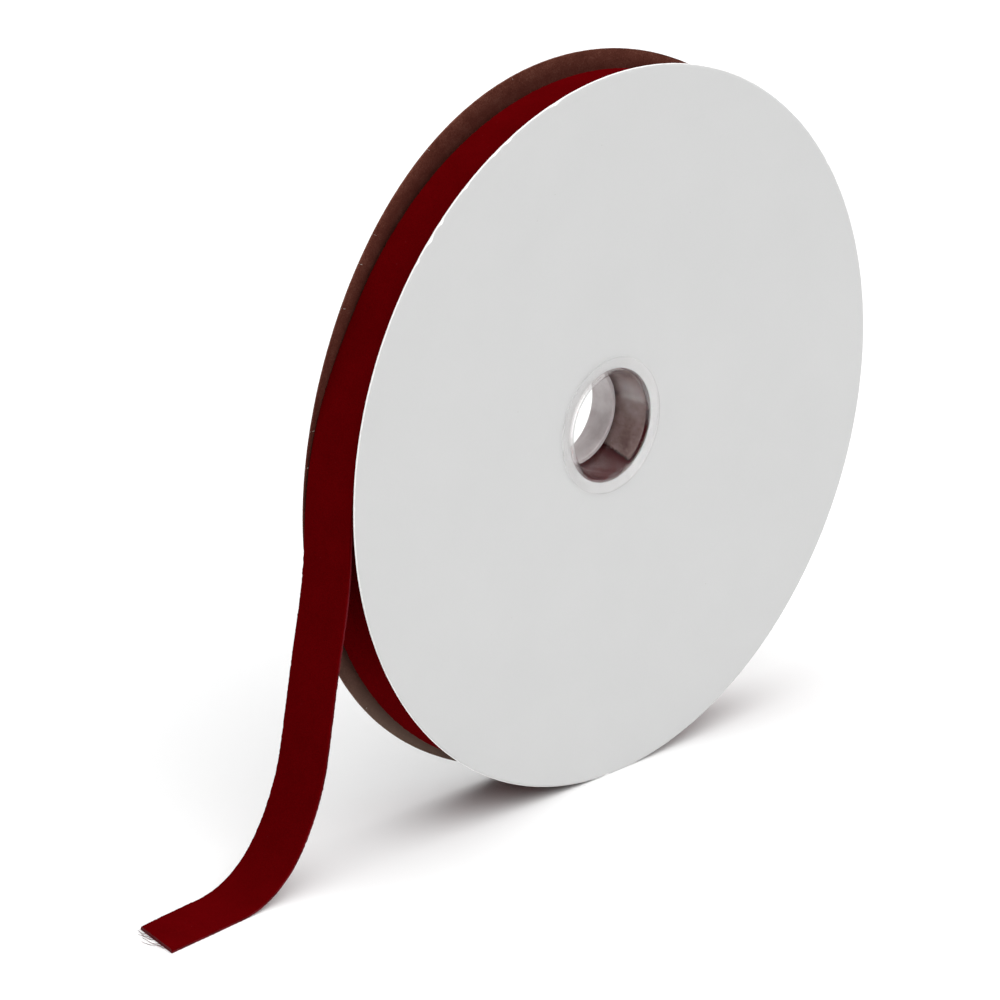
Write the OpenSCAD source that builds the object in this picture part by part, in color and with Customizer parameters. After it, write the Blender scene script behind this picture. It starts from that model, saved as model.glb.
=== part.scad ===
// Ribbon spool: two round cards on a clear two-part hub, wound with velvet ribbon.
// The spool stands on the rims of its cards. The origin is on the hub's axis, midway between
// the cards at the hub. +Y runs along the axis to the rear card, +Z is up, and the ribbon's
// free end hangs on the -X side and lies out on the surface that the rims stand on.

/* [Cards] */
// Diameter of both cards
card_d = 178; // [174:0.5:182]
// Thickness of the brown chipboard
board_t = 0.7; // [0.5:0.05:1]
// Thickness of the white paper on the chipboard
facing_t = 0.1; // [0.05:0.05:0.2]
// How much further out than its centre the front card's rim stands
front_splay = 1.3; // [0.1:0.1:2]
// How much further out than its centre the rear card's rim stands
rear_splay = 0.1; // [0.1:0.1:2]

/* [Ribbon] */
// Width of the ribbon
ribbon_w = 15.4; // [13:0.1:17]
// Thickness of the velvet, pile included
ribbon_t = 0.93; // [0.6:0.01:1.1]
// Radius of the wound pack, without its last turn
pack_r = 83.2; // [70:0.1:83.6]

/* [Free end] */
// How far the last turn and the free end stand forward of the pack
forward = 1.2; // [0:0.1:1.2]
// Lean at which the ribbon leaves the pack, out from the vertical
leave_lean = 33; // [20:1:36]
// Radius of the loose bend by which it leaves
loose_bend_r = 115; // [95:1:118]
// Lean at the end of the loose bend, where the ribbon hangs steepest
steep_lean = 3.5; // [0:0.5:6]
// Radius of the bend outwards below that
outward_bend_r = 140; // [100:5:200]
// Lean of the hanging stretch
hang_lean = 10.5; // [7:0.5:14]
// Lean at which the slow bend passes into the tight one
mid_lean = 40; // [25:1:55]
// Radius of the slow bend
slow_bend_r = 45; // [35:1:60]
// Radius of the tight bend, just above the surface
tight_bend_r = 27; // [20:1:32]
// Length of ribbon that lies flat
flat_run = 22.5; // [10:0.5:60]

/* [Hub] */
// Outer radius of the hub's tube
tube_r = 13.6; // [13.3:0.1:15]
// Radius of the bore in the front half
bore_r = 12.5; // [12.1:0.1:12.7]
// Radius of the lip that traps each card
lip_r = 16.9; // [16:0.1:19]
// Thickness of the lips
lip_t = 0.55; // [0.4:0.05:0.7]
// Radius of the rounded mouth of the front half
mouth_r = 1.2; // [0.8:0.1:1.3]
// Narrowest radius of the rear half, which a spindle has to pass
spindle_r = 11.6; // [11.3:0.1:11.7]
// How far the rear half's spigot reaches forward past its lip
spigot_l = 7.2; // [6.5:0.1:7.4]

/* [Tape] */
// Width of the tape
tape_w = 12.7; // [8:0.1:13]
// Thickness of the tape
tape_t = 0.12; // [0.08:0.01:0.14]
// Angle at which the serrated edge lies, from +X towards +Z
tape_edge_angle = -50.5; // [-90:0.5:0]
// Angle that the tape covers round the tube
tape_sweep = 176; // [90:1:200]
// Distance between the teeth of the cut edge
tooth_pitch = 1.3; // [1:0.1:2]
// Depth of the teeth
tooth_depth = 0.5; // [0.3:0.1:0.8]
// Slant of the cut edge across the tape
edge_slant = 13; // [0:1:20]

/* [Hidden] */

$fn = 128;
bend_steps = 10;

// Clearances
side_gap = 0.1;
hole_gap = 0.1;
socket_gap = 0.05;
socket_step = 0.3;
wind_gap = 0.02;
facing_inset = 0.15;

card_r = card_d / 2;
card_t = board_t + facing_t;
// Distances from the middle of the hub to a card's inner face and to a lip's inner face
card_face = ribbon_w / 2 + side_gap;
lip_face = card_face + card_t + side_gap;
hub_end = lip_face + lip_t;
// The cards stay flat under the lips and lean out from this radius
seat_r = lip_r + 1;
hole_r = tube_r + hole_gap;

// The spigot fills a socket that is a little wider than the bore
socket_r = bore_r + socket_step;
spigot_r = socket_r - socket_gap;
spigot_tip = -lip_face + spigot_l;
shoulder = spigot_tip + socket_gap;
// The spigot's bore opens in two steps towards the rear mouth
step_l = 2.6;
step_r = 0.25;
rear_mouth_r = 0.9;
lip_edge_r = 0.15;

tape_in_r = tube_r + wind_gap;
pack_in_r = tape_in_r + tape_t + wind_gap;

turn_in_r = pack_r + 2 * wind_gap;
turn_out_r = turn_in_r + ribbon_t;
turn_mid_r = (turn_in_r + turn_out_r) / 2;

// The free end, in the X-Z plane. A lean of 0 points straight down and 90 points to -X.
surface_z = -card_r;
function heading(lean) = [-sin(lean), -cos(lean)];
function side(lean) = [-cos(lean), sin(lean)];
// A bend turns outwards as its lean grows, and inwards as it falls
function bend_move(r, from, to) =
    (to > from ? 1 : -1) * r * [cos(to) - cos(from), sin(from) - sin(to)];

leave_at = turn_mid_r * side(leave_lean);
loose_end = leave_at + bend_move(loose_bend_r, leave_lean, steep_lean);
hang_start = loose_end + bend_move(outward_bend_r, steep_lean, hang_lean);
bends_drop = -bend_move(slow_bend_r, hang_lean, mid_lean)[1]
           - bend_move(tight_bend_r, mid_lean, 90)[1];
hang_l = (hang_start[1] - bends_drop - surface_z - ribbon_t / 2) / cos(hang_lean);
slow_start = hang_start + hang_l * heading(hang_lean);
tight_start = slow_start + bend_move(slow_bend_r, hang_lean, mid_lean);
flat_start = tight_start + bend_move(tight_bend_r, mid_lean, 90);

// Each station of the free end is a point on its middle line and the lean there. A bend's first
// station is the last one of the stretch before it, so it is left out.
function bend(start, r, from, to) =
    [for (i = [1:bend_steps])
        let (lean = from + (to - from) * i / bend_steps)
        [start + bend_move(r, from, lean), lean]];
stations = concat(
    [[leave_at, leave_lean]],
    bend(leave_at, loose_bend_r, leave_lean, steep_lean),
    bend(loose_end, outward_bend_r, steep_lean, hang_lean),
    [[slow_start, hang_lean]],
    bend(slow_start, slow_bend_r, hang_lean, mid_lean),
    bend(tight_start, tight_bend_r, mid_lean, 90),
    [[flat_start + flat_run * heading(90), 90]]);
last = len(stations) - 1;

// Turns a profile about the spool's axis. The profile has the radius across, and up it has the
// distance towards the front card, which is -Y.
module turned() {
    rotate([90, 0, 0]) rotate_extrude() children();
}

module on_axis(h) {
    rotate([90, 0, 0]) linear_extrude(height = h, center = true) children();
}

module ring(r_out, r_in, h) {
    on_axis(h) difference() {
        circle(r_out);
        circle(r_in);
    }
}

// One layer of a card: flat round the hub, then leaning out to its rim.
// front is 1 for the front card and -1 for the rear one.
module card_layer(front, inner, t, rim_r, splay) {
    flat_out = front * inner;
    rim_out = front * (inner + splay);
    turned() polygon([
        [hole_r, flat_out], [seat_r, flat_out], [rim_r, rim_out],
        [rim_r, rim_out + front * t], [seat_r, flat_out + front * t], [hole_r, flat_out + front * t]]);
}

module front_board() {
    color("saddlebrown") card_layer(1, card_face, board_t, card_r, front_splay);
}

module front_facing() {
    color("whitesmoke")
        card_layer(1, card_face + board_t, facing_t, card_r - facing_inset, front_splay);
}

module rear_board() {
    color("saddlebrown") card_layer(-1, card_face, board_t, card_r, rear_splay);
}

module rear_facing() {
    color("whitesmoke")
        card_layer(-1, card_face + board_t, facing_t, card_r - facing_inset, rear_splay);
}

// Lip, rounded mouth and long tube, with a shallow socket for the spigot
module hub_front_half() {
    mouth = [for (a = [0:15:90])
        [bore_r + mouth_r * (1 - cos(a)), hub_end - mouth_r * (1 - sin(a))]];
    color("lightcyan") turned() polygon(concat(
        [[tube_r, lip_face], [tube_r, -lip_face + side_gap], [socket_r, -lip_face + side_gap],
         [socket_r, shoulder], [bore_r, shoulder]],
        mouth,
        [[lip_r - lip_edge_r, hub_end], [lip_r, hub_end - lip_edge_r], [lip_r, lip_face]]));
}

// Lip and stepped spigot, which pushes into the front half's tube
module hub_rear_half() {
    wide_r = spindle_r + 2 * step_r;
    mouth = [for (a = [90:-15:0])
        [wide_r + rear_mouth_r * (1 - cos(a)), -hub_end + rear_mouth_r * (1 - sin(a))]];
    color("lightcyan") turned() polygon(concat(
        [[spigot_r, -lip_face], [spigot_r, spigot_tip - lip_edge_r],
         [spigot_r - lip_edge_r, spigot_tip], [spindle_r, spigot_tip],
         [spindle_r, spigot_tip - step_l], [spindle_r + step_r, spigot_tip - step_l],
         [spindle_r + step_r, spigot_tip - 2 * step_l], [wide_r, spigot_tip - 2 * step_l]],
        [for (i = [len(mouth) - 1:-1:0]) mouth[i]],
        [[lip_r - lip_edge_r, -hub_end], [lip_r, -hub_end + lip_edge_r], [lip_r, -lip_face]]));
}

// Saw-toothed outline that is taken off the tape's first edge, seen flat: along the tape, across it
module tooth_cut() {
    teeth = ceil(tape_w / tooth_pitch) + 4;
    low = -teeth * tooth_pitch / 2;
    saw = [for (i = [0:2 * teeth]) [i % 2 == 0 ? 0 : tooth_depth, low + i * tooth_pitch / 2]];
    rotate(edge_slant) polygon(concat(saw, [[-4, -low], [-4, low]]));
}

// A strip bent round the tube over the ribbon's inner end
module core_tape() {
    start = tape_edge_angle - 8;
    color("tan") difference() {
        rotate([90, 0, 0]) rotate([0, 0, start])
            rotate_extrude(angle = tape_sweep)
                translate([tape_in_r, -tape_w / 2]) square([tape_t, tape_w]);
        // The teeth are cut straight through, along the radius at the edge
        rotate([0, -tape_edge_angle, 0]) rotate([0, 90, 0])
            translate([0, 0, tape_in_r / 2]) linear_extrude(height = tape_in_r) rotate(180) tooth_cut();
    }
}

module ribbon_roll() {
    color("darkred") ring(pack_r, pack_in_r, ribbon_w);
}

// The last turn closes on itself where the free end leaves it. The free end starts as a point in
// the middle of the turn's thickness, so that it crosses the turn's walls cleanly.
module ribbon_free_end() {
    outer = [for (i = [1:last]) stations[i][0] + side(stations[i][1]) * ribbon_t / 2];
    inner = [for (i = [last:-1:1]) stations[i][0] - side(stations[i][1]) * ribbon_t / 2];
    color("firebrick") translate([0, -forward, 0]) {
        ring(turn_out_r, turn_in_r, ribbon_w);
        on_axis(ribbon_w) polygon(concat([leave_at], outer, inner));
    }
}

front_board();
front_facing();
rear_board();
rear_facing();
hub_front_half();
hub_rear_half();
core_tape();
ribbon_roll();
ribbon_free_end();
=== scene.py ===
"""Looks of the ribbon spool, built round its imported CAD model, in metres and in the same frame.

The spool stands on the rims of its two cards. +Y runs along its axis to the rear card, +Z is up,
and the ribbon's free end hangs on the -X side. Angles round the axis run from +X towards +Z.
"""

import math

import bpy
import numpy as np
from mathutils import Matrix, Vector


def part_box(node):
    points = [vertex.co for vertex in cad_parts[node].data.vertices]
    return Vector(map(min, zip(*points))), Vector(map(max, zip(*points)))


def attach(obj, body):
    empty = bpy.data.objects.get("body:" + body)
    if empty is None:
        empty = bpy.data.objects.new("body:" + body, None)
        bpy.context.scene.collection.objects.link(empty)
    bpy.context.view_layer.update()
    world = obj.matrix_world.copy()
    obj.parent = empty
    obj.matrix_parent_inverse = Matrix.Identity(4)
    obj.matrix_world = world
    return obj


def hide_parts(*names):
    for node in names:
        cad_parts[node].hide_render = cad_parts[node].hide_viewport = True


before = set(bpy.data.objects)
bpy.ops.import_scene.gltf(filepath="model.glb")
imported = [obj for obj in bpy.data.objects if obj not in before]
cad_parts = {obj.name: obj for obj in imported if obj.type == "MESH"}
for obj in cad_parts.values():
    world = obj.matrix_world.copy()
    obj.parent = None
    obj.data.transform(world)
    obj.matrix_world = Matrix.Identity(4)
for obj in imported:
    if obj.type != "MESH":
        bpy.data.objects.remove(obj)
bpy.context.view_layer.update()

MM = 0.001
TURN = 2 * math.pi
WIND_GAP = 0.02 * MM       # the CAD model's play between the layers that are wound on the hub
random = np.random.default_rng(11)


# Sizes that the frame gives

def low(name):
    """Lowest corner of a CAD node's box."""
    return np.array(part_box(name)[0])


def high(name):
    """Highest corner of a CAD node's box."""
    return np.array(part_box(name)[1])


CARD_R = high("front_board")[0]
SURFACE_Z = -CARD_R
CARD_FACE = -high("front_board")[1]
BOARD_T = -high("front_facing")[1] - CARD_FACE
FRONT_SPLAY = -low("front_board")[1] - CARD_FACE - BOARD_T
FACING_T = low("front_board")[1] - low("front_facing")[1]
LIP_R = high("hub_front_half")[0]
HUB_END = -low("hub_front_half")[1]
SEAT_R = LIP_R + 1 * MM     # the cards lie flat inside this radius
PACK_R = high("ribbon_roll")[0]
TURN_OUT_R = high("ribbon_free_end")[0]
TURN_IN_R = PACK_R + 2 * WIND_GAP
RIBBON_T = TURN_OUT_R - TURN_IN_R
RIBBON_W = high("ribbon_roll")[1] - low("ribbon_roll")[1]
FREE_MID_Y = (low("ribbon_free_end")[1] + high("ribbon_free_end")[1]) / 2
FREE_TIP_X = low("ribbon_free_end")[0]

# Values of the CAD model that its boxes don't give
PACK_IN_R = 13.76 * MM
TUBE_R = 13.6 * MM
BORE_R = 12.5 * MM
MOUTH_R = 1.2 * MM
SPINDLE_R = 11.6 * MM
SPIGOT_L = 7.2 * MM
LIP_T = 0.55 * MM
SIDE_GAP = 0.1 * MM
TAPE_W = 12.7 * MM
TAPE_T = 0.12 * MM
TAPE_EDGE = math.radians(-50.5)
TOOTH_PITCH = 1.3 * MM
EDGE_SLANT = math.tan(math.radians(13))
LIP_FACE = HUB_END - LIP_T
SPIGOT_TIP = SPIGOT_L - LIP_FACE

# The tape is 8 degrees shorter than in the CAD model, and its teeth 0.3 mm deeper
TAPE_SWEEP = math.radians(168)
TOOTH_DEPTH = 0.8 * MM


# Camera

VIEW_AZIMUTH = math.radians(-46.12)
VIEW_ELEVATION = math.radians(20.87)
VIEW_TARGET = Vector((-17.4, 11.2, -19.6)) * MM
VIEW_DISTANCE = 2.4

view_back = Vector((math.sin(VIEW_AZIMUTH) * math.cos(VIEW_ELEVATION),
                    -math.cos(VIEW_AZIMUTH) * math.cos(VIEW_ELEVATION),
                    math.sin(VIEW_ELEVATION)))
camera_data = bpy.data.cameras.new("camera")
camera_data.lens = 360
camera_data.sensor_width = 36
camera_data.clip_end = 50
camera = bpy.data.objects.new("camera", camera_data)
camera.location = VIEW_TARGET + view_back * VIEW_DISTANCE
camera.rotation_euler = (-view_back).to_track_quat("-Z", "Y").to_euler()
bpy.context.scene.collection.objects.link(camera)
bpy.context.scene.camera = camera


# Node materials

class Material:
    """A material with a Principled shader, and short calls that add nodes to it."""

    def __init__(self, name):
        self.data = bpy.data.materials.new(name)
        self.data.use_nodes = True
        self.tree = self.data.node_tree
        self.shader = self.tree.nodes["Principled BSDF"]
        self.place = self.add("TexCoord").outputs["Object"]

    def add(self, kind, settings=None, **inputs):
        """Adds a shader node. An input is a socket to link, or a value to set."""
        made = self.tree.nodes.new("ShaderNode" + kind)
        for key, value in (settings or {}).items():
            setattr(made, key, value)
        for key, value in inputs.items():
            self.put(made.inputs[key.replace("_", " ")], value)
        return made

    def put(self, socket, value):
        if isinstance(value, bpy.types.NodeSocket):
            self.tree.links.new(value, socket)
        else:
            socket.default_value = value

    def set(self, **inputs):
        for key, value in inputs.items():
            self.put(self.shader.inputs[key.replace("_", " ")], value)

    def noise(self, size, detail=3.0, roughness=0.6, place=None):
        """Noise whose lumps are about size across, in metres."""
        return self.add("TexNoise", Vector=place or self.place, Scale=1 / size, Detail=detail,
                        Roughness=roughness).outputs["Fac"]

    def ramp(self, value, *stops):
        """A colour ramp. Each stop is a position and a colour."""
        made = self.add("ValToRGB", Fac=value)
        elements = made.color_ramp.elements
        while len(elements) < len(stops):
            elements.new(0.5)
        for element, (position, colour) in zip(elements, stops):
            element.position = position
            element.color = (*colour, 1)
        return made.outputs["Color"]

    def between(self, value, start, end, to_start=0.0, to_end=1.0):
        """Takes value from the range start..end to the range to_start..to_end."""
        made = self.add("MapRange", Value=value)
        for socket, number in zip(made.inputs[1:5], (start, end, to_start, to_end)):
            socket.default_value = number
        return made.outputs["Result"]

    def mix(self, share, first, second):
        """The first colour, or the second one as far as share says."""
        made = self.add("Mix", {"data_type": "RGBA"})
        self.put(made.inputs[0], share)
        for socket, colour in ((made.inputs[6], first), (made.inputs[7], second)):
            self.put(socket, colour if isinstance(colour, bpy.types.NodeSocket) else (*colour, 1))
        return made.outputs[2]

    def math(self, operation, first, second):
        made = self.add("Math", {"operation": operation})
        self.put(made.inputs[0], first)
        self.put(made.inputs[1], second)
        return made.outputs[0]

    def bump(self, height, depth):
        """Bumps of that depth, in metres, on the surface."""
        self.set(Normal=self.add("Bump", Height=height, Distance=depth, Strength=1.0).outputs[0])

    def attribute(self, name):
        return self.add("Attribute", {"attribute_name": name}).outputs["Fac"]

    def radius(self):
        """Distance from the spool's axis, in metres."""
        flat = self.add("VectorMath", {"operation": "MULTIPLY"})
        self.put(flat.inputs[0], self.place)
        flat.inputs[1].default_value = (1, 0, 1)
        length = self.add("VectorMath", {"operation": "LENGTH"})
        self.put(length.inputs[0], flat.outputs["Vector"])
        return length.outputs["Value"]


def velvet():
    """Cut pile that takes light evenly, with lint specks and a nap that lies this way and that."""
    m = Material("velvet")
    nap = m.noise(9 * MM, 4)
    tufts = m.noise(0.28 * MM, 2)
    tone = m.math("ADD", m.math("MULTIPLY", nap, 0.45), m.math("MULTIPLY", tufts, 0.55))
    pile = m.ramp(tone, (0.30, (0.070, 0.0003, 0.0007)), (0.70, (0.104, 0.0005, 0.0013)))
    specks = m.add("TexVoronoi", Vector=m.place, Scale=1 / (2.6 * MM)).outputs["Distance"]
    m.set(Base_Color=m.mix(m.between(specks, 0.035, 0.02), pile, (0.22, 0.03, 0.035)),
          Roughness=1.0, Specular_IOR_Level=0.0, Sheen_Weight=0.12, Sheen_Roughness=0.45,
          Sheen_Tint=(0.75, 0.01, 0.03, 1))
    m.bump(tufts, 0.12 * MM)
    return m.data


def ribbon_ground():
    """The plain woven back and selvages of the ribbon."""
    m = Material("ribbon_ground")
    weave = m.add("TexWave", {"bands_direction": "Y"}, Vector=m.place, Scale=1 / (2.4 * MM),
                  Distortion=1.5, Detail=2.0).outputs["Fac"]
    m.set(Base_Color=m.ramp(weave, (0.2, (0.075, 0.001, 0.003)), (0.8, (0.125, 0.003, 0.007))),
          Roughness=0.7, Specular_IOR_Level=0.15)
    m.bump(weave, 0.03 * MM)
    return m.data


def white_paper():
    """Off-white facing paper. Its nicks show its whiter core, and its die-cut rim is painted whiter, as
    worn core and as a painted highlight.
    """
    m = Material("white_paper")
    fibres = m.noise(0.5 * MM, 5, 0.7)
    clouds = m.noise(25 * MM, 2)
    tone = m.math("ADD", m.math("MULTIPLY", fibres, 0.5), m.math("MULTIPLY", clouds, 0.5))
    face = m.ramp(tone, (0.3, (0.545, 0.547, 0.545)), (0.7, (0.567, 0.568, 0.566)))
    specks = m.add("TexVoronoi", Vector=m.place, Scale=1 / (9 * MM)).outputs["Distance"]
    face = m.mix(m.between(specks, 0.022, 0.014, 0.0, 0.35), face, (0.35, 0.33, 0.30))
    # Whiter rim band: worn paper core in the nicks, and a painted highlight along the die-cut rim
    m.set(Base_Color=m.mix(m.attribute("wear_and_highlight"), face, (0.95, 0.94, 0.93)),
          Roughness=0.62, Specular_IOR_Level=0.2)
    m.bump(fibres, 0.012 * MM)
    return m.data


def chipboard():
    """Brown recycled board: finely speckled, dusty grey towards the bottom, and with painted shade
    and painted red bounce light near the ribbon and at the left."""
    m = Material("chipboard")
    mottle = m.noise(3.5 * MM, 4, 0.7)
    speckle = m.noise(0.35 * MM, 3, 0.8)
    tone = m.math("ADD", m.math("MULTIPLY", mottle, 0.35), m.math("MULTIPLY", speckle, 0.65))
    face = m.ramp(tone, (0.36, (0.080, 0.021, 0.013)), (0.5, (0.130, 0.038, 0.025)),
                  (0.66, (0.215, 0.090, 0.064)))
    place = m.add("SeparateXYZ", Vector=m.place)
    dust = m.between(place.outputs["Z"], -25 * MM, -65 * MM, 0.0, 0.6)
    face = m.mix(dust, face, (0.240, 0.190, 0.150))
    # Painted shade and painted red bounce light: darker and redder near the ribbon's last turn and
    # towards -X
    painted_shade_and_bounce = m.math("MAXIMUM", m.between(m.radius(), TURN_OUT_R + 3.5 * MM, TURN_OUT_R, 0.0, 0.6),
                    m.between(place.outputs["X"], -68 * MM, -86 * MM, 0.0, 0.65))
    m.set(Base_Color=m.mix(painted_shade_and_bounce, face, (0.050, 0.006, 0.004)), Roughness=0.92,
          Specular_IOR_Level=0.1)
    m.bump(tone, 0.05 * MM)
    return m.data


def clear_plastic():
    """Thin clear moulding, very faintly clouded. Its low IOR and part alpha keep the view through
    it plain, so that the tape behind the tube shows."""
    m = Material("clear_plastic")
    cloud = m.noise(4 * MM, 2)
    m.set(Base_Color=m.ramp(cloud, (0.3, (0.92, 0.90, 0.90)), (0.7, (0.97, 0.955, 0.955))),
          Roughness=m.between(cloud, 0.3, 0.7, 0.0, 0.03), Transmission_Weight=1.0, IOR=1.3,
          Alpha=0.42)
    return m.data


def cloudy_plastic():
    """The rear half of the hub, which looks cloudier than the front one."""
    m = Material("cloudy_plastic")
    cloud = m.noise(3 * MM, 3)
    m.set(Base_Color=m.ramp(cloud, (0.3, (0.74, 0.67, 0.67)), (0.7, (0.88, 0.83, 0.83))),
          Roughness=m.between(cloud, 0.3, 0.7, 0.05, 0.12), Transmission_Weight=0.3, IOR=1.49)
    return m.data


def paper_tape():
    """Grey-brown creped tape with darker stains."""
    m = Material("paper_tape")
    stains = m.noise(3.2 * MM, 4, 0.65)
    crepe = m.noise(0.35 * MM, 3)
    tone = m.math("ADD", m.math("MULTIPLY", stains, 0.7), m.math("MULTIPLY", crepe, 0.3))
    m.set(Base_Color=m.ramp(tone, (0.32, (0.170, 0.098, 0.090)), (0.66, (0.400, 0.290, 0.275))),
          Roughness=0.85, Specular_IOR_Level=0.2)
    m.bump(crepe, 0.05 * MM)
    return m.data


def thread_fibre(name, dark, light):
    """Loose threads and paper fibres, in two tones along their length."""
    m = Material(name)
    m.set(Base_Color=m.ramp(m.noise(0.7 * MM, 2), (0.4, dark), (0.6, light)),
          Roughness=0.8, Specular_IOR_Level=0.2)
    return m.data


VELVET = velvet()
GROUND = ribbon_ground()
PAPER = white_paper()
CHIPBOARD = chipboard()
CLEAR_PLASTIC = clear_plastic()
CLOUDY_PLASTIC = cloudy_plastic()
TAPE = paper_tape()
RED_THREAD = thread_fibre("ribbon_threads", (0.020, 0.004, 0.006), (0.16, 0.03, 0.035))
PALE_FIBRE = thread_fibre("pale_fibres", (0.45, 0.33, 0.27), (0.85, 0.80, 0.74))


# Mesh building

def mesh_piece(name, points, faces, body, materials, face_material=None, sharp=40.0):
    """A smooth-shaded closed mesh that rides on a body. Its faces are turned to look outwards."""
    points = np.asarray(points, float).reshape(-1, 3)
    split = [(f[0], f[i], f[i + 1]) for f in faces for i in range(1, len(f) - 1)]
    a, b, c = points[np.array(split)].transpose(1, 0, 2)
    if np.einsum("ij,ij->i", a, np.cross(b, c)).sum() < 0:
        faces = [f[::-1] for f in faces]
    data = bpy.data.meshes.new(name)
    data.from_pydata(points.tolist(), [], [list(map(int, f)) for f in faces])
    data.polygons.foreach_set("use_smooth", [True] * len(faces))
    data.set_sharp_from_angle(angle=math.radians(sharp))
    for material in materials:
        data.materials.append(material)
    if face_material is not None:
        data.polygons.foreach_set("material_index", np.asarray(face_material, np.int32))
    piece = bpy.data.objects.new(name, data)
    bpy.context.scene.collection.objects.link(piece)
    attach(piece, body)
    return piece


def skin_faces(rings, size, closed):
    """Quads between rings of size points each. Open ends are capped."""
    i, j = np.meshgrid(np.arange(rings if closed else rings - 1), np.arange(size), indexing="ij")
    k, l = (i + 1) % rings, (j + 1) % size
    quads = np.stack([i * size + j, i * size + l, k * size + l, k * size + j], -1).reshape(-1, 4)
    faces = quads.tolist()
    if not closed:
        faces.append(list(range(size))[::-1])
        faces.append([(rings - 1) * size + n for n in range(size)])
    return faces


def smooth_noise(count, lumps, cyclic=True):
    """count values from -1 to 1 that swell and sink about lumps times."""
    knots = random.uniform(-1, 1, lumps + 1)
    if cyclic:
        knots[-1] = knots[0]
    at = np.linspace(0, lumps, count, endpoint=not cyclic)
    first = np.minimum(at.astype(int), lumps - 1)
    share = at - first
    share = share * share * (3 - 2 * share)
    return knots[first] * (1 - share) + knots[first + 1] * share


def turned_piece(name, outline, segments, body, material, shape=None, sharp=40.0):
    """A closed outline of (radius, y) turned about the axis. shape moves the points of each angle."""
    angles = np.linspace(0, TURN, segments, endpoint=False)
    r, y = (np.repeat(np.array(outline)[None, :, k], segments, 0) for k in (0, 1))
    theta = np.repeat(angles[:, None], r.shape[1], 1)
    if shape is not None:
        r, y = shape(r, y, theta)
    points = np.stack([r * np.cos(theta), y, r * np.sin(theta)], -1)
    return mesh_piece(name, points, skin_faces(segments, r.shape[1], True), body, [material],
                      sharp=sharp)


def arc(centre, radius, start, end, steps):
    """Points of an arc in an outline, from one angle to another in degrees."""
    angles = [math.radians(angle) for angle in np.linspace(start, end, steps)]
    return [(centre[0] + radius * math.cos(a), centre[1] + radius * math.sin(a)) for a in angles]


def tube_mesh(paths, radius, sides=6):
    """Points and faces of thin closed tubes along several paths, each tapering to its end."""
    points, faces = [], []
    for path in paths:
        path = np.array(path)
        along = np.gradient(path, axis=0)
        along /= np.linalg.norm(along, axis=1)[:, None]
        across = np.cross(along, (0.31, 0.22, 0.93))
        across /= np.linalg.norm(across, axis=1)[:, None]
        other = np.cross(along, across)
        turn = np.linspace(0, TURN, sides, endpoint=False)[None, :, None]
        taper = np.linspace(1, 0.45, len(path))[:, None, None] * radius
        rings = path[:, None] + taper * (np.cos(turn) * across[:, None] + np.sin(turn) * other[:, None])
        start = sum(len(p) for p in points)
        points.append(rings.reshape(-1, 3))
        faces += [[start + n for n in f] for f in skin_faces(len(path), sides, False)]
    return np.concatenate(points), faces


# The cards: die-cut discs of board faced with paper, each a little warped

def wave(theta, lift, *pairs):
    """A wave round a rim: a lift, then a cosine and a sine part for one, two and three lobes."""
    total = np.full_like(theta, lift)
    for lobes, (cos_part, sin_part) in enumerate(pairs, 1):
        total += cos_part * np.cos(lobes * theta) + sin_part * np.sin(lobes * theta)
    return total * MM


def rise(r):
    """0 at the lip, where a card is held flat, and 1 at its rim."""
    return np.clip((r - SEAT_R) / (CARD_R - SEAT_R), 0, None)


def front_away(r, theta):
    """How far the front card stands away from the ribbon, past its flat seat."""
    warp = wave(theta, 0.7, (-0.3, -0.3), (-0.1, 0.6))
    return FRONT_SPLAY * rise(r) + warp * rise(r) ** 1.5


def rear_away(r, theta):
    """The same for the rear card. Its slight splay in the CAD model is left out."""
    warp = wave(theta, 0.4, (-0.07, 0.06), (-0.24, 0.12), (0.95, -1.3))
    return warp * rise(r) ** 1.5


EDGE_ROUND = 0.7 * MM      # width of the rim that the die rounds over
EDGE_DROP = 0.22 * MM
CARD_SEGMENTS = 1080
FRONT_HOLE_R = 14.2 * MM   # the real holes are loose round the tube, under the lips
REAR_HOLE_R = 15.2 * MM
WRAP_T = 0.08 * MM         # paper that is pressed round the rim of the front card
WRAP_END = 0.32 * MM       # depth behind the inner face where that paper ends
WEAR_AND_HIGHLIGHT_EDGE = 0.14 * MM      # width of the rim painted whiter, as worn paper core and as a painted highlight
WEAR_AND_HIGHLIGHT_FADE = 0.12 * MM
ROUGH_EDGE = 1.2 * MM      # width of the rim whose outline is uneven
ROUGHNESS = 0.03 * MM      # how uneven it is
TORN_WIDTH = 0.25 * MM     # how far the edge of that whiter band (worn core and painted highlight) strays in a nick
TORN_SHARE = 0.12          # share of that where there is no nick
NICK_BITE = 0.15           # share of a nick's depth that is missing from the outline
LAYER_GAP = 0.01 * MM
BOARD_INSET = 0.03 * MM    # the front board ends this far inside its wrapped paper
PAPER_INSET = 0.06 * MM    # the rear paper ends this far inside its board
RIM_STEPS = np.array([2.2, 1.7, 1.3, 1.0, 0.8, 0.62, 0.46, 0.32, 0.2, 0.1, 0.03]) * MM


def edge_drop(r, card_r):
    """How far the die has pressed the card's outer face in, near its rim."""
    return EDGE_DROP * np.clip((r - card_r + EDGE_ROUND) / EDGE_ROUND, 0, 1) ** 2


def card_radii(hole_r, card_r):
    """Radii of a layer's points, closer together near its rim."""
    inner = np.linspace(hole_r, SEAT_R, 4)
    middle = np.linspace(SEAT_R, card_r - 3 * MM, 16)[1:]
    return np.concatenate([inner, middle, card_r - RIM_STEPS])


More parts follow.
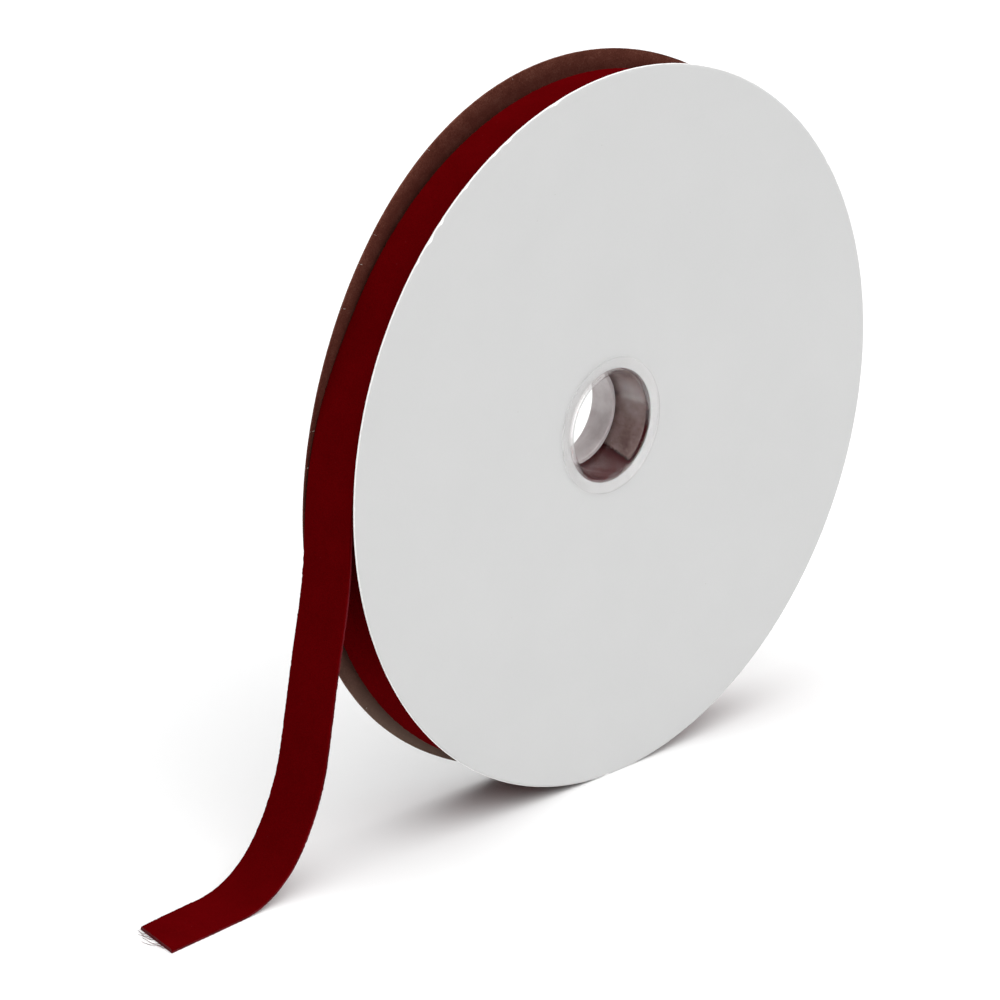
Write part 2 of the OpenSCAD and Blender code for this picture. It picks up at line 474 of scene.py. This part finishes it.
def layer_outline(hole_r, card_r, start, end, wrap=0.0):
    """Outline of a layer that lies from start to end outwards of the card's inner face. With wrap
    it also turns down over the rim of the layer below, by that thickness."""
    inner = [(r, start) for r in card_radii(hole_r, card_r) if r < card_r - wrap]
    if wrap:
        inner += [(card_r - wrap, depth) for depth in np.linspace(start, WRAP_END, 3)]
        inner += [(card_r - 0.03 * MM, WRAP_END), (card_r, WRAP_END + 0.03 * MM)]
        inner += [(card_r, end - 0.06 * MM)]
    return inner + [(r, end) for r in card_radii(hole_r, card_r)[::-1]]


def nick_depth(theta, nicks):
    """How deep the rim is torn at each angle, from nicks of (angle, half width, depth)."""
    depth = np.zeros_like(theta)
    for angle, half, deep in nicks:
        off = (theta - math.radians(angle) + math.pi) % TURN - math.pi
        depth = np.maximum(depth, deep * MM * np.exp(-((off * CARD_R / (half * MM)) ** 2)))
    return depth


def card_layer(name, side, away, card_r, outline, body, material, shift, nicks=()):
    """One layer of a card, turned from an outline of (radius, depth behind the inner face).
    side is -1 for the front card and 1 for the rear one, and shift is its play on the hub."""
    jag = ROUGHNESS * (0.6 * smooth_noise(CARD_SEGMENTS, 700) + 0.4 * smooth_noise(CARD_SEGMENTS, 260))
    wobble = np.repeat(jag[:, None], len(outline), 1)
    torn = TORN_WIDTH * smooth_noise(CARD_SEGMENTS, 900)[:, None]
    wear_and_highlight = {}

    def shape(r, depth, theta):
        outwards = away(r, theta) - edge_drop(r, card_r) * np.clip(depth / BOARD_T, 0, 1)
        near_rim = np.clip((r - card_r + ROUGH_EDGE) / ROUGH_EDGE, 0, 1)
        depth_torn = nick_depth(theta, nicks)
        # Mask of the whiter rim band: worn core in the nicks, and a painted highlight along the rim
        wear_and_highlight_reach = r - (card_r - WEAR_AND_HIGHLIGHT_EDGE - depth_torn - torn * (TORN_SHARE + depth_torn / MM))
        wear_and_highlight["wear_and_highlight"] = np.clip(wear_and_highlight_reach / WEAR_AND_HIGHLIGHT_FADE, 0, 1)
        r = r + near_rim * (wobble - NICK_BITE * depth_torn)
        y = side * (CARD_FACE + outwards + depth)
        return r, y

    piece = turned_piece(name, outline, CARD_SEGMENTS, body, material, shape, sharp=35.0)
    values = piece.data.attributes.new("wear_and_highlight", "FLOAT", "POINT")
    values.data.foreach_set("value", wear_and_highlight["wear_and_highlight"].astype(np.float32).ravel())
    if shift != (0, 0):
        piece.data.transform(Matrix.Translation((shift[0] * MM, 0, shift[1] * MM)))
    return piece


# Each nick is an angle in degrees, a half width and a depth in millimetres
FRONT_NICKS = [(103.5, 1.6, 0.35), (114.2, 1.0, 0.45), (117.2, 1.3, 0.3), (124.6, 0.8, 0.25),
               (131.6, 0.9, 0.4), (134.8, 1.2, 0.5), (138.7, 0.7, 0.25), (268.0, 0.8, 0.25),
               (33.0, 0.7, 0.2)]
REAR_NICKS = [(101.5, 2.4, 0.5), (228.5, 1.0, 0.6), (12.0, 0.9, 0.5), (300.0, 1.2, 0.6)]
REAR_CARD_R = CARD_R - 0.4 * MM
REAR_SHIFT = (0.7, -0.4)   # along X and Z, in millimetres


def cards():
    """Both cards. Only the front one's paper turns over its rim."""
    for card, side, away, card_r, hole_r, shift, nicks, wrap in (
            ("front", -1, front_away, CARD_R, FRONT_HOLE_R, (0, 0), FRONT_NICKS, WRAP_T),
            ("rear", 1, rear_away, REAR_CARD_R, REAR_HOLE_R, REAR_SHIFT, REAR_NICKS, 0.0)):
        body = card + "_card"
        board_r = card_r - wrap - BOARD_INSET if wrap else card_r
        outline = layer_outline(hole_r, board_r, 0, BOARD_T - LAYER_GAP)
        board = card_layer(body + "_board", side, away, board_r, outline, body,
                           CHIPBOARD, shift)
        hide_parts(card + "_board")
        paper_r = card_r if wrap else card_r - PAPER_INSET
        outline = layer_outline(hole_r, paper_r, BOARD_T, BOARD_T + FACING_T, wrap)
        paper = card_layer(body + "_paper", side, away, paper_r, outline, body,
                           PAPER, shift, nicks)
        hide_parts(card + "_facing")


def rim_point(theta, r, depth):
    """A point on the rear card, at a depth behind its inner face."""
    y = CARD_FACE + float(rear_away(np.array([r]), np.array([theta]))[0]) + depth
    return np.array([r * math.cos(theta) + REAR_SHIFT[0] * MM, y,
                     r * math.sin(theta) + REAR_SHIFT[1] * MM])


# Each fibre is an angle in degrees and a length in millimetres
FIBRES = [(136.4, 2.2), (141.5, 1.8), (148.8, 2.4), (168.2, 2.0), (174.0, 1.0),
          (120.0, 0.9), (99.8, 1.4), (222.0, 1.5), (40.0, 1.6), (305.0, 1.8)]


def rear_card_fibres():
    """Pale fibres that the die pulled out of the rear card's rim."""
    paths = []
    for angle, length in FIBRES:
        theta = math.radians(angle)
        start = rim_point(theta, REAR_CARD_R - 0.55 * length * MM, -0.02 * MM)
        end = rim_point(theta + 0.004, REAR_CARD_R + 0.28 * length * MM, 0.35 * MM)
        bow = np.array([0, -0.12 * MM, 0])
        steps = np.linspace(0, 1, 9)[:, None]
        paths.append(start * (1 - steps) + end * steps + bow * np.sin(math.pi * steps))
    points, faces = tube_mesh(paths, 0.045 * MM)
    mesh_piece("rear_card_fibres", points, faces, "rear_card", [PALE_FIBRE])


# The hub: two clear mouldings. Their outlines are drawn with y pointing to the front.

LIP_ROUND = 0.18 * MM
LIP_CHAMFER = 0.05 * MM
TUBE_CHAMFER = 0.1 * MM
SOCKET_R = BORE_R + 0.3 * MM
SOCKET_END_GAP = 0.05 * MM
BORE_START = SPIGOT_TIP + 1.5 * MM    # where the bore's straight stretch is first divided
SPIGOT_R = BORE_R + 0.25 * MM
SPIGOT_ROUND = 0.25 * MM
SPINDLE_ROUND = 0.2 * MM
STEP_L = 2.6 * MM          # the spindle bore widens in two chamfered steps
STEP_R = 0.25 * MM
STEP_CHAMFER = 0.3 * MM
REAR_MOUTH_R = 0.9 * MM


def hub_half(name, outline, material):
    """One moulding, turned from an outline of (radius, height towards the front)."""
    piece = turned_piece(name, [(r, -y) for r, y in outline], 256, "core", material)
    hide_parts(name + "_half")


def hub_front():
    back = SIDE_GAP - LIP_FACE
    outline = [(TUBE_R, LIP_FACE), (TUBE_R, back + TUBE_CHAMFER), (TUBE_R - TUBE_CHAMFER, back),
               (SOCKET_R + TUBE_CHAMFER, back), (SOCKET_R, back + TUBE_CHAMFER),
               (SOCKET_R, SPIGOT_TIP + SOCKET_END_GAP), (BORE_R, SPIGOT_TIP + SOCKET_END_GAP)]
    outline += [(BORE_R, y) for y in np.linspace(BORE_START, HUB_END - MOUTH_R, 5)[:-1]]
    outline += arc((BORE_R + MOUTH_R, HUB_END - MOUTH_R), MOUTH_R, 180, 90, 13)
    outline += arc((LIP_R - LIP_ROUND, HUB_END - LIP_ROUND), LIP_ROUND, 90, 0, 6)
    outline += [(LIP_R, LIP_FACE + LIP_CHAMFER), (LIP_R - LIP_CHAMFER, LIP_FACE)]
    hub_half("hub_front", outline, CLEAR_PLASTIC)


def hub_rear():
    mouth_r = SPINDLE_R + 2 * STEP_R + REAR_MOUTH_R
    outline = [(SPIGOT_R, -LIP_FACE)]
    outline += arc((SPIGOT_R - SPIGOT_ROUND, SPIGOT_TIP - SPIGOT_ROUND), SPIGOT_ROUND, 0, 90, 6)
    outline += arc((SPINDLE_R + SPINDLE_ROUND, SPIGOT_TIP - SPINDLE_ROUND), SPINDLE_ROUND, 90, 180, 6)
    for step in (1, 2):
        corner = SPIGOT_TIP - step * STEP_L
        outline += [(SPINDLE_R + (step - 1) * STEP_R, corner + STEP_CHAMFER),
                    (SPINDLE_R + step * STEP_R, corner - STEP_CHAMFER)]
    outline += arc((mouth_r, -HUB_END + REAR_MOUTH_R), REAR_MOUTH_R, 180, 270, 10)
    outline += arc((LIP_R - LIP_ROUND, -HUB_END + LIP_ROUND), LIP_ROUND, 270, 360, 6)
    outline += [(LIP_R, -LIP_FACE - LIP_CHAMFER), (LIP_R - LIP_CHAMFER, -LIP_FACE)]
    hub_half("hub_rear", outline, CLOUDY_PLASTIC)


def tape():
    """Tape that holds the ribbon's inner end to the tube, torn off along a saw-toothed blade."""
    y = np.linspace(-TAPE_W / 2, TAPE_W / 2, 118)
    tooth = TOOTH_DEPTH * np.abs(2 * (y / TOOTH_PITCH % 1) - 1)
    edge = TAPE_EDGE + (tooth + EDGE_SLANT * y) / TUBE_R
    inner_r = TUBE_R + WIND_GAP
    share = np.linspace(0, 1, 72)[:, None]
    theta = edge * (1 - share) + (TAPE_EDGE + TAPE_SWEEP) * share
    theta = np.concatenate([theta, theta[:, ::-1]], 1)
    r = np.repeat([inner_r, inner_r + TAPE_T], len(y))[None]
    y = np.concatenate([y, y[::-1]])[None] + FREE_MID_Y
    points = np.stack([r * np.cos(theta), y + 0 * theta, r * np.sin(theta)], -1)
    piece = mesh_piece("hub_tape", points, skin_faces(len(share), y.size, False), "core",
                       [TAPE])
    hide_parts("core_tape")


# The ribbon: a woven ground with selvages, and a pile that stops just short of them

GROUND_T = 0.28 * MM
SELVAGE = 0.16 * MM
HANG_T = 0.68 * MM         # thickness where nothing presses on the ribbon
PILE_FUZZ = 0.035 * MM     # how far the tips of the pile stray
EDGE_FUZZ = 0.035 * MM     # how far the edges stray
EDGE_FUZZ_WIDTH = 0.6 * MM


def ribbon_section(across, back, edge_step=1):
    """Outline of the ribbon: across its width, through its thickness (0 to 1), and how far its pile
    stands at each point. The pile side comes second and has across points, the back has back.
    An edge_step of 2 leaves out every other point of the edges."""
    half = RIBBON_W / 2
    ground = GROUND_T / RIBBON_T
    wall = half - SELVAGE
    top = np.linspace(wall - 0.45 * MM, -wall + 0.45 * MM, across)
    right = [(half - 0.04 * MM, 0.04, 0), (half, ground * 0.5, 0), (half - 0.04 * MM, ground, 0),
             (wall + 0.05 * MM, ground, 0), (wall, ground + 0.15, 0.6), (wall - 0.08 * MM, 0.86, 1),
             (wall - 0.2 * MM, 0.96, 1)]
    if edge_step > 1:
        right = right[1::edge_step]
    left = [(-u, v, w) for u, v, w in right[::-1]]
    under = [(u, 0, 0) for u in np.linspace(-half + 0.12 * MM, half - 0.12 * MM, back)]
    return np.array(under + right + [(u, 1, 1) for u in top] + left)


def ribbon_rings(centres, sides, thickness, y_mid, section, fuzz):
    """Rings of ribbon points. centres are (x, z) of the back's surface and sides point to the pile.
    fuzz is how far, in metres, the tips of the pile stray."""
    count, size = len(centres), len(section)
    across, through, pile = section.T
    stray = random.normal(0, 1, (count, size)) * pile * fuzz
    v = through[None] * thickness[:, None] + stray * np.minimum(1, thickness / HANG_T)[:, None]
    edge = (np.abs(across) > RIBBON_W / 2 - EDGE_FUZZ_WIDTH) * np.sign(across)
    ragged = random.normal(0, 1, (count, 2)) * EDGE_FUZZ
    u = across[None] + np.where(edge > 0, ragged[:, :1], ragged[:, 1:]) * np.abs(edge)
    x = centres[:, :1] + sides[:, :1] * v
    z = centres[:, 1:] + sides[:, 1:] * v
    return np.stack([x, y_mid[:, None] + u, z], -1)


def pile_faces(rings, section):
    """Material of each face: 0 for pile and 1 for woven ground. The two caps are ground."""
    pile = (section[:, 2] > 0) & (np.roll(section[:, 2], -1) > 0)
    return np.concatenate([np.tile(np.where(pile, 0, 1), rings - 1), [1, 1]])


PACK_STEPS = 108           # steps in each turn of the pack
PRESSED = 0.05 * MM        # how much thinner than its pitch the wound ribbon is
WANDER = 0.12 * MM         # how far the turns stray sideways
WANDER_START = 6 * MM      # depth of innermost turns over which they begin to


def wound_pack():
    """All the turns under the last one, as one spiral of ribbon that drifts to the front."""
    turns = (PACK_R - PACK_IN_R) / RIBBON_T - 1
    count = int(turns * PACK_STEPS)
    theta = np.linspace(0, turns * TURN, count)
    back_r = PACK_IN_R + RIBBON_T * theta / TURN
    centres = np.stack([back_r * np.cos(theta), back_r * np.sin(theta)], 1)
    sides = np.stack([np.cos(theta), np.sin(theta)], 1)
    thickness = np.full(count, RIBBON_T - PRESSED)
    drift = FREE_MID_Y * np.clip((back_r - SEAT_R) / (PACK_R - SEAT_R), 0, 1)
    wander = WANDER * smooth_noise(count, int(turns * 1.7), cyclic=False)
    wander *= np.clip((back_r - PACK_IN_R) / WANDER_START, 0, 1)
    section = ribbon_section(4, 2, edge_step=2)
    rings = ribbon_rings(centres, sides, thickness, drift + wander, section, 0.0)
    piece = mesh_piece("wound_pack", rings, skin_faces(count, len(section), False), "core",
                       [VELVET, GROUND], pile_faces(count, section))
    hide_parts("ribbon_roll")


# The free end's route, as in the CAD model: lean 0 points straight down and lean 90 to -X
LEAVE_LEAN = math.radians(33)
STEEP_LEAN = math.radians(3.5)
HANG_LEAN = math.radians(10.5)
MID_LEAN = math.radians(40)
FLAT_LEAN = math.radians(90)
LOOSE_BEND_R = 115 * MM
OUTWARD_BEND_R = 140 * MM
SLOW_BEND_R = 45 * MM
TIGHT_BEND_R = 27 * MM
TURN_MID_R = (TURN_IN_R + TURN_OUT_R) / 2
RIBBON_STEP = 0.46 * MM    # spacing of the rings of the last turn and the free end

TURN_SAG = 3.1 * MM        # how far the slack last turn hangs below the pack, at its lowest
BULGE = 1.05 * MM          # how far the leaving ribbon stands out past its bend
BULGE_LENGTH = 62 * MM
HANG_BACK = 0.4 * MM       # how far back it hangs once it is past the cards' rims
HANG_BACK_LENGTH = 30 * MM
END_SWAY = -4.0 * MM       # how far forward the tip lies
SWAY_START = 62 * MM       # length of ribbon over which it gets there
CUT_SKEW = 0.31            # slant of the cut across the ribbon
CUT_LENGTH = 14 * MM


def smooth_step(share):
    """Eases a share from 0 to 1, and holds it there outside that range."""
    share = np.clip(share, 0, 1)
    return share * share * (3 - 2 * share)


def heading(lean):
    """Direction in which the ribbon runs at a lean."""
    return np.array([-math.sin(lean), -math.cos(lean)])


def outward(lean):
    """Direction that its pile faces there."""
    return np.array([-math.cos(lean), math.sin(lean)])


def bend_move(radius, start, end):
    """How far a bend takes the middle line, from one lean to another."""
    turn = radius if end > start else -radius
    return turn * np.array([math.cos(end) - math.cos(start), math.sin(start) - math.sin(end)])


def free_route(step):
    """Middle line (x, z) and lean of the free end, from where it leaves the roll to its cut end."""
    bends = [(LOOSE_BEND_R, LEAVE_LEAN, STEEP_LEAN), (OUTWARD_BEND_R, STEEP_LEAN, HANG_LEAN),
             (None, HANG_LEAN, HANG_LEAN), (SLOW_BEND_R, HANG_LEAN, MID_LEAN),
             (TIGHT_BEND_R, MID_LEAN, FLAT_LEAN), (None, FLAT_LEAN, FLAT_LEAN)]
    place = TURN_MID_R * outward(LEAVE_LEAN)
    slow_drop = bend_move(SLOW_BEND_R, HANG_LEAN, MID_LEAN)[1]
    tight_drop = bend_move(TIGHT_BEND_R, MID_LEAN, FLAT_LEAN)[1]
    hang_end_z = SURFACE_Z + RIBBON_T / 2 - slow_drop - tight_drop
    points, leans = [], []
    for radius, start, end in bends:
        if radius is not None:
            length = radius * abs(end - start)
        elif start == HANG_LEAN:
            length = (place[1] - hang_end_z) / math.cos(HANG_LEAN)
        else:
            length = place[0] - FREE_TIP_X
        shares = np.linspace(0, 1, max(2, round(length / step)), endpoint=False)
        for share in shares:
            lean = start + (end - start) * share
            moved = bend_move(radius, start, lean) if radius else length * share * heading(start)
            points.append(place + moved)
            leans.append(lean)
        place = place + (bend_move(radius, start, end) if radius else length * heading(start))
    points.append(place)
    leans.append(FLAT_LEAN)
    return np.array(points), np.array(leans)


def free_ribbon():
    """The last turn and the free end. The turn starts as a wedge under the leaving ribbon."""
    leave_angle = math.pi - LEAVE_LEAN
    turn_steps = round(TURN * TURN_MID_R / RIBBON_STEP)
    theta = np.linspace(leave_angle, leave_angle + TURN, turn_steps, endpoint=False)
    turn_sides = np.stack([np.cos(theta), np.sin(theta)], 1)
    sag = TURN_SAG * np.clip(-np.sin(theta), 0, 1) ** 1.2
    turn_backs = (TURN_IN_R + sag)[:, None] * turn_sides
    past_leaving = (theta - leave_angle) * TURN_MID_R
    opening = past_leaving ** 2 / 2 * (1 / TURN_MID_R - 1 / LOOSE_BEND_R)
    turn_thickness = np.clip(0.97 * opening, 0.004 * MM, RIBBON_T)

    middle, leans = free_route(RIBBON_STEP)
    free_sides = np.stack([-np.cos(leans), np.sin(leans)], 1)
    past_end = np.arange(len(middle)) * RIBBON_STEP
    bulge = BULGE * np.sin(math.pi * np.clip(past_end / BULGE_LENGTH, 0, 1)) ** 2
    hanging = smooth_step((past_end - BULGE_LENGTH) / HANG_BACK_LENGTH)
    hanging *= smooth_step((past_end[-1] - past_end) / SWAY_START - 1)
    free_thickness = RIBBON_T - (RIBBON_T - HANG_T) * hanging
    free_backs = middle + free_sides * (bulge + RIBBON_T / 2 - free_thickness)[:, None]

    backs = np.concatenate([turn_backs, free_backs])
    sides = np.concatenate([turn_sides, free_sides])
    thickness = np.concatenate([turn_thickness, free_thickness])
    along = np.concatenate([[0], np.cumsum(np.linalg.norm(np.diff(backs, axis=0), axis=1))])
    to_end = along[-1] - along
    past_leave = np.concatenate([np.zeros(len(turn_backs)), past_end])
    back = smooth_step((past_leave - BULGE_LENGTH) / HANG_BACK_LENGTH)
    y_mid = FREE_MID_Y + HANG_BACK * back + END_SWAY * np.clip(1 - to_end / SWAY_START, 0, 1) ** 1.4

    section = ribbon_section(35, 13)
    rings = ribbon_rings(backs, sides, thickness, y_mid, section, PILE_FUZZ)
    skew = CUT_SKEW * np.clip(1 - to_end / CUT_LENGTH, 0, 1) ** 1.5
    rings[:, :, 0] += skew[:, None] * section[None, :, 0]
    faces = skin_faces(len(rings), len(section), False)
    piece = mesh_piece("free_ribbon", rings, faces, "free_end", [VELVET, GROUND],
                       pile_faces(len(rings), section))
    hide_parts("ribbon_free_end")
    threads = cut_threads(y_mid[-1])


def cut_threads(y_end):
    """Weft threads that have come loose along the cut end. Each is a row of places along the cut
    and distances out from it, in millimetres."""
    loose = [[(-3.4, -0.5), (-2.8, 1.0), (-1.0, 2.2), (2.1, 3.4)],
             [(-2.6, -0.5), (-1.6, 0.9), (0.4, 1.7), (3.4, 2.4)],
             [(0.6, -0.5), (1.4, 0.7), (3.2, 1.5), (5.8, 2.0)],
             [(1.6, -0.5), (2.4, 0.6), (3.9, 1.2), (5.2, 1.3)],
             [(3.8, -0.5), (4.6, 0.5), (5.6, 1.0), (7.2, 1.2)],
             [(-4.6, -0.4), (-4.2, 0.4), (-3.4, 0.9), (-2.4, 1.2)]]
    paths = []
    for n, rows in enumerate(loose):
        rows = np.array(rows)
        at = np.linspace(0, len(rows) - 1, 14)
        u, out = (np.interp(at, range(len(rows)), rows[:, k]) for k in (0, 1))
        x = FREE_TIP_X + CUT_SKEW * u * MM - out * MM
        z = SURFACE_Z + (0.12 + 0.25 * np.sin(at * 1.3 + n)[:, None] ** 2).ravel() * MM
        paths.append(np.stack([x, y_end + u * MM, z], 1))
    points, faces = tube_mesh(paths, 0.1 * MM)
    return mesh_piece("cut_threads", points, faces, "free_end", [RED_THREAD])


# Stage and light

FLOOR_SIZE = 30
FLOOR_GAP = 0.02 * MM
SKY_BRIGHT_SIDE = (1, -0.55, 0.35)
SKY_RANGE = (-0.5, 0.7)        # from away from the bright side to towards it, as a cosine
SKY_STRENGTH = (0.04, 0.62)


def stage():
    """A white floor under the spool, which the exported model leaves out."""
    m = Material("floor")
    m.set(Base_Color=m.ramp(m.noise(0.4), (0.3, (0.93, 0.93, 0.93)), (0.7, (0.95, 0.95, 0.95))),
          Roughness=0.9, Specular_IOR_Level=0.0)
    bpy.ops.mesh.primitive_plane_add(size=FLOOR_SIZE, location=(0, 0, SURFACE_Z - FLOOR_GAP))
    floor = bpy.context.object
    floor.name = "floor"
    floor.data.materials.append(m.data)


def soft_sun(name, direction, strength, spread):
    """A broad soft light that comes from that direction."""
    data = bpy.data.lights.new(name, "SUN")
    data.energy = strength
    data.angle = math.radians(spread)
    lamp = bpy.data.objects.new(name, data)
    lamp.rotation_euler = Vector(direction).to_track_quat("Z", "Y").to_euler()
    bpy.context.scene.collection.objects.link(lamp)


def lights():
    """A broad light from above, and a sky that darkens towards -X and +Y."""
    soft_sun("top_light", (-0.1, -0.3, 1), 3.0, 110)
    world = bpy.data.worlds.new("studio")
    world.use_nodes = True
    tree = world.node_tree
    direction = tree.nodes.new("ShaderNodeTexCoord").outputs["Generated"]
    facing = tree.nodes.new("ShaderNodeVectorMath")
    facing.operation = "DOT_PRODUCT"
    facing.inputs[1].default_value = Vector(SKY_BRIGHT_SIDE).normalized()
    tree.links.new(direction, facing.inputs[0])
    fade = tree.nodes.new("ShaderNodeMapRange")
    for socket, number in zip(fade.inputs[1:5], SKY_RANGE + SKY_STRENGTH):
        socket.default_value = number
    tree.links.new(facing.outputs["Value"], fade.inputs["Value"])
    tree.links.new(fade.outputs["Result"], tree.nodes["Background"].inputs["Strength"])
    tree.nodes["Background"].inputs["Color"].default_value = (1, 1, 1, 1)
    bpy.context.scene.world = world
    bpy.context.scene.view_settings.view_transform = "Standard"


cards()
rear_card_fibres()
hub_front()
hub_rear()
tape()
wound_pack()
free_ribbon()
stage()
lights()
